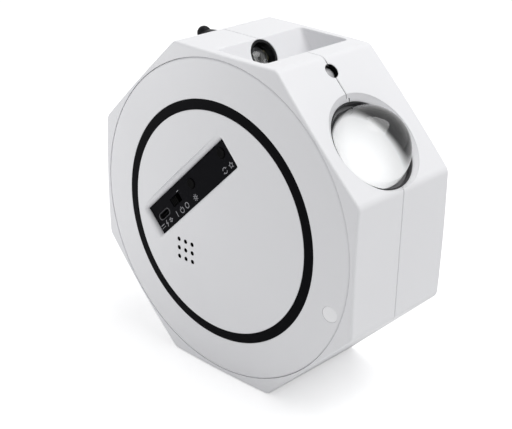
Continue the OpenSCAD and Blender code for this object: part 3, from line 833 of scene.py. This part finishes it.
def pocket_line(grow):
    """The pocket's outline in the plane of the front."""
    wider = 0.2 + 2 * grow
    ring = rounded_rect(PANEL_LEN + wider, PANEL_W + wider, 0.6 + grow, 0)
    turn = on_panel(0)
    points = [turn @ Vector(p) for p in ring]
    return [(p.x, p.z - HALF) for p in points]


def grille_holes():
    """Cutters for the 3 by 3 holes in front of the speaker."""
    holes = []
    for i in (-1, 0, 1):
        for j in (-1, 0, 1):
            x = GRILLE_X + i * GRILLE_PITCH
            z = GRILLE_Z - HALF + j * GRILLE_PITCH
            holes.append(through_dome("hole", round_at(x, z, GRILLE_R, 24), -1, -30, 0.12))
    return holes


def in_grille(point, _normal):
    """Whether a face of the plate lies in the grille's holes or in the recess behind them, which get
    painted shade.
    """
    x, y, z = point
    near = math.hypot(x - GRILLE_X, z - GRILLE_Z) < SPEAKER_R + 0.2
    return near and y > face_y(math.hypot(x, z - HALF), 0.15)


def build_plate(white, painted_shade_black):
    """The front plate with the panel's pocket, the grille and the window's hole."""
    plate = plate_body()
    block_rings = [rounded_rect(PANEL_LEN + 4.4, PANEL_W + 4.4, 2, z) for z in (0, 5)]
    block = loft("block", block_rings, on_panel(-27.6))
    speaker_at = at(GRILLE_X, COLLAR_Y, GRILLE_Z) @ turned(90, "X")
    collar = cylinder("collar", SPEAKER_R + 1.4, 0, 4, speaker_at)
    boolean(plate, [block, collar], "UNION")
    through_rings = [rounded_rect(PANEL_LEN - 2, PANEL_W - 2, 1, z) for z in (-8, 8)]
    tools = [
        through_dome("pocket", pocket_line, -1, PANEL_Y + PANEL_T, LIP_R, 7),
        loft("through", through_rings, on_panel(-30)),
        cylinder("recess", SPEAKER_R + 0.1, -8, COLLAR_Y - SPEAKER_Y + 0.1, speaker_at),
        bore_cutter(ON_WINDOW, WINDOW_R + 0.04, 9, 0.1),
    ]
    tools += grille_holes()
    boolean(plate, tools)
    discard(tools + [block, collar])
    dress(smooth(plate), white, stands_for=["front_plate"])
    # painted shade: the grille's hole walls and the recess behind them are coloured black
    second_material(plate, painted_shade_black, in_grille)


def ring_profile():
    """The inlaid ring, with its two front edges rounded."""
    soft = 0.18
    bend = soft * 0.3
    middle = (RING_IN + RING_OUT) / 2
    return [
        (RING_IN, face_y(RING_IN, RING_T)),
        (RING_IN, face_y(RING_IN, soft - RING_PROUD)),
        (RING_IN + bend, face_y(RING_IN, bend - RING_PROUD)),
        (RING_IN + soft, face_y(RING_IN, -RING_PROUD)),
        (middle, face_y(middle, -RING_PROUD)),
        (RING_OUT - soft, face_y(RING_OUT, -RING_PROUD)),
        (RING_OUT - bend, face_y(RING_OUT, bend - RING_PROUD)),
        (RING_OUT, face_y(RING_OUT, soft - RING_PROUD)),
        (RING_OUT, face_y(RING_OUT, RING_T)),
    ]


def window_profile():
    """The remote window: a disc with a rounded edge and a slightly domed face."""
    soft = 0.25
    return [
        (0, -2.5),
        (WINDOW_R, -2.5),
        (WINDOW_R, -0.1 - soft),
        (WINDOW_R - 0.07, -0.17),
        (WINDOW_R - soft, -0.1),
        (WINDOW_R * 0.6, -0.02),
        (0, 0.02),
    ]


def build_front(white, black, pale, painted_shade_black):
    build_plate(white, painted_shade_black)
    band = smooth(turned_front("trim_band", ring_profile(), 256, True))
    dress(band, black, stands_for=["trim_ring"])
    window = smooth(lathe("window_disc", window_profile(), ON_WINDOW, 64))
    dress(window, pale, stands_for=["remote_window"])


# ---- Control panel ----

def plate_with_edge(name, w, h, r, z0, z1, soft, place):
    """A flat plate with round corners and a rounded front edge."""
    rings = [rounded_rect(w, h, r, z0)]
    for inward, drop in quarter(3):
        inset = soft * inward
        corner = max(r - inset, 0.05)
        rings.append(rounded_rect(w - 2 * inset, h - 2 * inset, corner, z1 - soft * drop))
    return loft(name, rings, place)


def rect_cutter(w, h, r, u, v, z0, z1, place, flare=0.15):
    """A cutter with round corners that ends at local height z1 in a small flare."""
    def ring(grow, z):
        return rounded_rect(w + 2 * grow, h + 2 * grow, r + grow, z, u, v)

    rings = [ring(0, z0)]
    for out, drop in quarter(3):
        rings.append(ring(flare * out, z1 - flare * drop))
    rings.append(ring(flare, z1 + 3))
    return loft("rect_cutter", rings, place)


def build_strip(black):
    """The panel itself, with openings for the inlet, the slider and the buttons."""
    back = on_panel(PANEL_Y + PANEL_T)
    panel = plate_with_edge("panel_strip", PANEL_LEN, PANEL_W, 0.5, 0, PANEL_T, 0.12, back)
    inlet_w = SOCKET_W + 0.3
    inlet_h = SOCKET_H + 0.3
    slot_w = SLIDER_W + TRAVEL + 0.8
    slot_h = SLIDER_H + 0.7
    tools = [
        rect_cutter(inlet_w, inlet_h, inlet_h / 2, SOCKET_U, SOCKET_V, -1, PANEL_T, back),
        rect_cutter(slot_w, slot_h, 0.3, SWITCH_U, SWITCH_V, -1, PANEL_T, back),
    ]
    for u, v in BUTTONS.values():
        tools.append(bore_cutter(back @ at(u, v, PANEL_T), BUTTON_R + 0.15, 3, 0.15, n=48))
    boolean(panel, tools)
    discard(tools)
    dress(smooth(panel), black, stands_for=["control_panel"])


def button_profile():
    """A push button: a flange under the panel, a rounded edge and a dished face."""
    top = BOARD_Y - PANEL_Y + 0.35
    edge = 0.3
    dish = 0.14
    flange = BUTTON_R + 0.6
    profile = [(0, 4.1), (flange, 4.1), (flange, 5.4), (BUTTON_R, 5.4), (BUTTON_R, top - edge)]
    profile += [(BUTTON_R - edge * inward, top - edge * drop) for inward, drop in quarter(3, 1)]
    profile += [(BUTTON_R * 0.6, top - dish * 0.6), (BUTTON_R * 0.3, top - dish * 0.9), (0, top - dish)]
    return profile


def build_buttons(black):
    for name, (u, v) in BUTTONS.items():
        cap = smooth(lathe(name + "_cap", button_profile(), on_panel(BOARD_Y) @ at(u, v, 0), 64))
        dress(cap, black, name, stands_for=[name])


def build_slider(black):
    """The slide switch's cap at its rest end, with three grooves for the finger."""
    board = on_panel(BOARD_Y)
    u = SWITCH_U - TRAVEL / 2
    top = BOARD_Y - PANEL_Y - 0.2
    place = board @ at(u, SWITCH_V, 0)
    slider = plate_with_edge("switch_cap", SLIDER_W, SLIDER_H, 0.25, 1.5, top, 0.15, place)
    grips = []
    for i in (-1, 0, 1):
        grip_u = u + 1.1 * i
        grips.append(rect_cutter(0.4, SLIDER_H + 1, 0.1, grip_u, SWITCH_V, top - 0.35, top, board, 0.1))
    boolean(slider, grips)
    discard(grips)
    dress(smooth(slider), black, "slider", stands_for=["power_slider"])


def build_inlet(chrome, dark):
    """The supply inlet: a metal shell with a rolled rim, and the tongue inside it."""
    board = on_panel(BOARD_Y)
    rim = 0.12
    wall = 0.3
    deep = BOARD_Y - PANEL_Y - 0.1
    rings = []
    for inset, z in ((0, 0), (0, deep - rim), (wall / 2, deep), (wall, deep - rim), (wall, 0.8)):
        w = SOCKET_W - 2 * inset
        h = SOCKET_H - 2 * inset
        rings.append(rounded_rect(w, h, h / 2, z, SOCKET_U, SOCKET_V, 8))
    shell = smooth(loft("inlet_shell", rings, board))
    dress(shell, chrome, stands_for=["power_socket"])
    place = board @ at(SOCKET_U, SOCKET_V, 0)
    tongue = smooth(plate_with_edge("inlet_tongue", 6.4, 0.7, 0.15, 0.8, deep - 1.1, 0.15, place))
    dress(tongue, dark, stands_for=["socket_tongue"])


# ---- Printed marks beside the controls ----

MARK_ROW = -4.15                   # across the panel
MARK_WIDTH = 0.36                  # of the printed lines
FINE_WIDTH = 0.8 * MARK_WIDTH
INK_LOW = 0.005
INK_HIGH = 0.035
BOX_FACES = ((3, 2, 1, 0), (4, 5, 6, 7), (0, 1, 5, 4), (1, 2, 6, 5), (2, 3, 7, 6), (3, 0, 4, 7))


def strip(points, width, closed=False):
    """A flat band along points in the panel's plane, as quads."""
    quads = []
    ends = points[1:] + points[:1] if closed else points[1:]
    for (x0, y0), (x1, y1) in zip(points, ends):
        length = math.hypot(x1 - x0, y1 - y0)
        nx = -(y1 - y0) / length * width / 2
        ny = (x1 - x0) / length * width / 2
        quads.append([(x0 + nx, y0 + ny), (x0 - nx, y0 - ny), (x1 - nx, y1 - ny), (x1 + nx, y1 + ny)])
    return quads


def mark(u, *lines, width=MARK_WIDTH, closed=False):
    """Bands along lines that are given from a mark's own centre, u along the panel."""
    quads = []
    for points in lines:
        quads += strip([(u + x, MARK_ROW + y) for x, y in points], width, closed)
    return quads


def arc(r, start, end, y=0.0, n=20):
    """Points of an arc round (0, y) between two angles in degrees."""
    angles = [math.radians(start + (end - start) * k / n) for k in range(n + 1)]
    return [(r * math.cos(a), y + r * math.sin(a)) for a in angles]


def supply_marks():
    """Direct current, a bolt and a plug."""
    dashes = [[(d - 0.3, -0.5), (d + 0.3, -0.5)] for d in (-1.1, 0, 1.1)]
    found = mark(-30.95, [(-1.4, 0.7), (1.4, 0.7)], *dashes)
    found += mark(-27.35, [(0.5, 1.5), (-0.7, -0.1), (0.6, 0.1), (-0.5, -1.5)])
    pins = [[(-0.9, 0.5), (0, 0.5)], [(-0.9, -0.5), (0, -0.5)]]
    return found + mark(-24.15, arc(0.95, -90, 90), [(0, 0.95), (0, -0.95)], [(0.95, 0), (1.8, 0)], *pins)


def switch_marks():
    """Off, standby and on."""
    found = mark(-18.05, [(0, 1.4), (0, -1.4)])
    found += mark(-13.65, arc(1.3, 125, 415, -0.1), [(0, 1.6), (0, 0.2)])
    return found + mark(-9.15, arc(1.25, 0, 360))


def sun_mark():
    rays = []
    for k in range(8):
        c = math.cos(math.radians(45 * k))
        s = math.sin(math.radians(45 * k))
        rays.append([(1.05 * c, 1.05 * s), (1.6 * c, 1.6 * s)])
    return mark(-1.45, arc(0.65, 0, 360), *rays)


def cycle_mark():
    """Two bent arrows."""
    u = 23.85
    found = []
    for turn in (0, 180):
        c = math.cos(math.radians(turn + 25))
        s = math.sin(math.radians(turn + 25))
        x = 1.3 * c
        y = 1.3 * s
        found += mark(u, arc(1.3, turn + 25, turn + 160))
        found += mark(u, [(x - 0.7 * c, y + 0.3 * s), (x, y), (x + 0.5 * c, y + 0.8 * s)], width=FINE_WIDTH)
    return found


def star_mark():
    points = []
    for k in range(10):
        r = 1.55 if k % 2 == 0 else 0.65
        a = math.radians(36 * k)
        points.append((r * math.sin(a), r * math.cos(a)))
    return mark(28.85, points, width=FINE_WIDTH, closed=True)


def build_marks(ink):
    """Pictograms on the panel for the supply, the switch, the light and the mode."""
    quads = supply_marks() + switch_marks() + sun_mark() + cycle_mark() + star_mark()
    quads += strip([(-10.95, 3.8), (-9.35, 3.8)], 0.3)
    verts = []
    faces = []
    for quad in quads:
        first = len(verts)
        verts += [(*p, z) for z in (INK_LOW, INK_HIGH) for p in quad]
        faces += [tuple(first + i for i in face) for face in BOX_FACES]
    dress(make("panel_marks", verts, faces, on_panel(PANEL_Y)), ink)


# ---- Lenses ----

def cap_profile(r, h, base, steps=14):
    """A dome of height h above base, from its rim at radius r to the axis."""
    ball = (r * r + h * h) / (2 * h)
    start = math.asin(r / ball)
    angles = [start * (1 - k / steps) for k in range(steps + 1)]
    return [(ball * math.sin(a), base + h - ball + ball * math.cos(a)) for a in angles]


def barrel_profile():
    """The sleeve round the lens, with a lip in front of the lens's flange."""
    out = LENS_BORE - 0.1
    lip = LENS_R + 0.25
    soft = 0.2
    return [
        (out, -BARREL_END),
        (out, -BARREL_FRONT - soft),
        (out - soft, -BARREL_FRONT),
        (SEAT_R, -BARREL_FRONT - soft),
        (SEAT_R, -BARREL_LIP),
        (lip + soft, -BARREL_LIP),
        (lip, -BARREL_LIP - soft),
        (lip, -LENS_SEAT),
        (SEAT_R, -LENS_SEAT),
        (SEAT_R, -BARREL_END),
    ]


def lens_profile():
    """A half ball on a flange."""
    flange = SEAT_R - 0.1
    soft = 0.2
    steps = 36
    profile = [
        (0, -LENS_BACK),
        (flange - soft, -LENS_BACK),
        (flange, -LENS_BACK + soft),
        (flange, -LENS_SEAT),
        (LENS_R, -LENS_SEAT),
    ]
    for k in range(steps + 1):
        a = math.pi / 2 * k / steps
        profile.append((LENS_R * math.cos(a), LENS_R * math.sin(a) - LENS_DEPTH))
    return profile


def on_lip(point, _normal):
    """Whether a face of the barrel is on its lip, which gets painted light."""
    spot = ON_LENS.inverted() @ point
    level = -BARREL_LIP - 1 < spot.z < -BARREL_LIP + 0.05
    return level and math.hypot(spot.x, spot.y) < SEAT_R - 0.1


def on_back(_point, normal):
    """Whether a face of the lens is on its flat rear side."""
    inward = -(ON_LENS.to_3x3() @ Vector((0, 0, 1)))
    return normal.dot(inward) > 0.99


def build_main_lens(glass, frosted_with_painted_glow, barrel_black, lip_painted_light):
    sleeve = smooth(lathe("barrel", barrel_profile(), ON_LENS, 128, True))
    dress(sleeve, barrel_black, stands_for=["lens_barrel"])
    # painted light: the lip is a lighter grey than the rest of the barrel, standing in for light falling on
    # it
    second_material(sleeve, lip_painted_light, on_lip)
    lens = smooth(lathe("main_lens", lens_profile(), ON_LENS, 128), 40)
    dress(lens, glass, stands_for=["projection_lens"])
    # the rear face gets the white window with its painted glow
    second_material(lens, frosted_with_painted_glow, on_back)


def build_outlet(grey):
    """The small module beside the lens, with a shallow dome for its window."""
    r = PILOT_R - 0.15
    soft = 0.1
    profile = [(0, OUTLET_BACK), (r - soft, OUTLET_BACK), (r, OUTLET_BACK + soft), (r, OUTLET_TOP - 0.6)]
    profile += cap_profile(r - soft, 0.5, OUTLET_TOP - 0.5)
    module = smooth(lathe("outlet_module", profile, ON_LENS @ at(PILOT_X, 0, 0), 64))
    dress(module, grey, stands_for=["laser_module"])


def side_barrel_profile():
    """The cup of the small lens, with a rounded rim."""
    inner = SIDE_R - 1.2
    return [
        (SIDE_R, -13),
        (SIDE_R, -0.4),
        (SIDE_R - 0.06, -0.26),
        (SIDE_R - 0.2, -0.2),
        (SIDE_R - 1.0, -0.2),
        (SIDE_R - 1.14, -0.26),
        (inner, -0.4),
        (inner, -12),
        (3, -12),
        (3, -13),
    ]


def build_side_lens(glass, black):
    """The small lens in the notch's sloping wall, and its barrel."""
    barrel = smooth(lathe("side_barrel", side_barrel_profile(), ON_SIDE, 96, True))
    dress(barrel, black, stands_for=["side_lens_barrel"])
    r = SIDE_R - 1.3
    profile = [(0, -7), (r - 0.1, -7), (r, -6.9), (r, -4.6)] + cap_profile(r - 0.2, 3, -4.6)
    lens = smooth(lathe("side_lens_glass", profile, ON_SIDE, 96), 40)
    dress(lens, glass, stands_for=["side_lens"])


def build_knob(black):
    """The knob: a socket for its shaft, a flared skirt and a domed crown."""
    soft = 0.12
    profile = [(0, 4.9), (2.0, 4.9), (2.0, KNOB_GAP), (KNOB_R - soft, KNOB_GAP)]
    profile += [(KNOB_R, KNOB_GAP + soft), (KNOB_R, KNOB_RIM)]
    for t in [k / 12 for k in range(1, 13)]:
        a = (1 - t) ** 2
        b = 2 * t * (1 - t)
        c = t * t
        profile.append((a * KNOB_R + b * FLARE_R + c * CROWN_R, a * KNOB_RIM + b * FLARE_Z + c * CROWN_Z))
    for k in range(1, 11):
        a = math.pi / 2 * k / 10
        profile.append((CROWN_R * math.cos(a), CROWN_Z + (KNOB_H - CROWN_Z) * math.sin(a)))
    knob = smooth(lathe("dimmer_knob", profile, ON_KNOB, 96), 40)
    dress(knob, black, "knob", stands_for=["control_knob"])


# ---- CAD pieces that keep their own shape ----

KEPT = {
    "inner_white": ["film_wheel", "motor_pinion", "light_shroud"],
    "film": ["film_disc"],
    "lamp": ["led_lamp", "side_lamp"],
    "glass": ["condenser_lens"],
    "inner_black": ["power_switch", "tactile_switches", "speaker_cone", "remote_receiver",
                    "lens_retaining_ring", "optical_frame", "speaker_basket"],
    "steel": ["light_plunger", "mode_plunger", "motor_shaft", "knob_shaft", "potentiometer",
              "motor", "speaker_magnet", "housing_screws", "frame_screws", "board_screws"],
    "aluminium": ["heat_sink"],
    "board": ["control_board", "main_board"],
}


def finish_nodes(materials):
    """Gives each carried-over node its material."""
    for key, names in KEPT.items():
        for name in names:
            node = NODES[name]
            node.data.materials.clear()
            node.data.materials.append(materials[key])


# ---- Scene ----

make_camera()
make_world()
make_floor()
area_light("key_top", (0.35, 0.3, 1.3), 1.0, 10.6)
area_light("near_left", (-0.22, -0.2, 0.12), 0.1, 0.12)

white = plastic("housing_white", (0.84, 0.84, 0.855), 0.42, grain=0.03)
panel_black = plastic("panel_black", (0.0045, 0.0045, 0.006), 0.4, grain=0.03, shine=0.03)
ring_black = plastic("ring_black", (0.004, 0.004, 0.005), 0.5, grain=0.04, shine=0.03)
cap_black = plastic("cap_black", (0.003, 0.003, 0.003), 0.42, grain=0.05, shine=0.03)
gloss_black = plastic("gloss_black", (0.005, 0.005, 0.006), 0.12, grain=0.0, shine=0.2)
knob_black = plastic("knob_black", (0.006, 0.006, 0.007), 0.4, grain=0.04, shine=0.1)
barrel_black = plastic("barrel_black", (0.04, 0.04, 0.042), 0.5, grain=0.03, shine=0.2)
# painted light: a lighter grey for the barrel's lip, standing in for light falling on it
lip_painted_light = plastic("lip_painted_light", (0.2, 0.2, 0.205), 0.45, grain=0.03, shine=0.3)
# also painted shade: the seam faces, the outlet's bore walls and the grille's holes are coloured with it
dark = plastic("inner_black", (0.003, 0.003, 0.003), 0.6, shine=0.04)
grey = plastic("outlet_grey", (0.5, 0.5, 0.51), 0.3, coat=0.3)
inner_white = plastic("inner_white", (0.85, 0.85, 0.84), 0.5)
film = plastic("film", (0.86, 0.86, 0.88), 0.35, vary=0.05)
ink = plastic("print_ink", (0.34, 0.34, 0.36), 0.6)
pale = plastic("window_pale", (0.95, 0.95, 0.96), 0.15, grain=0.0, coat=0.3)
lamp = plastic("lamp_yellow", (0.9, 0.8, 0.35), 0.25, coat=0.4)
board_green = plastic("board_green", (0.02, 0.16, 0.08), 0.3, vary=0.15, coat=0.3)
chrome = metal("inlet_metal", (0.2, 0.2, 0.21), 0.3)
steel = metal("steel", (0.6, 0.61, 0.63), 0.35)
aluminium = metal("aluminium", (0.8, 0.81, 0.82), 0.4, (30, 1, 1))
glass = clear("lens_glass", (0.97, 0.98, 0.99))
frosted_with_painted_glow = lens_back_material()

build_housing(white, dark)
build_front(white, ring_black, pale, dark)
build_strip(panel_black)
build_buttons(cap_black)
build_slider(cap_black)
build_inlet(chrome, dark)
build_marks(ink)
build_main_lens(glass, frosted_with_painted_glow, barrel_black, lip_painted_light)
build_outlet(grey)
build_side_lens(glass, gloss_black)
build_knob(knob_black)
finish_nodes({
    "inner_white": inner_white,
    "film": film,
    "lamp": lamp,
    "glass": glass,
    "inner_black": dark,
    "steel": steel,
    "aluminium": aluminium,
    "board": board_green,
})

bpy.context.scene.view_settings.view_transform = "Standard"
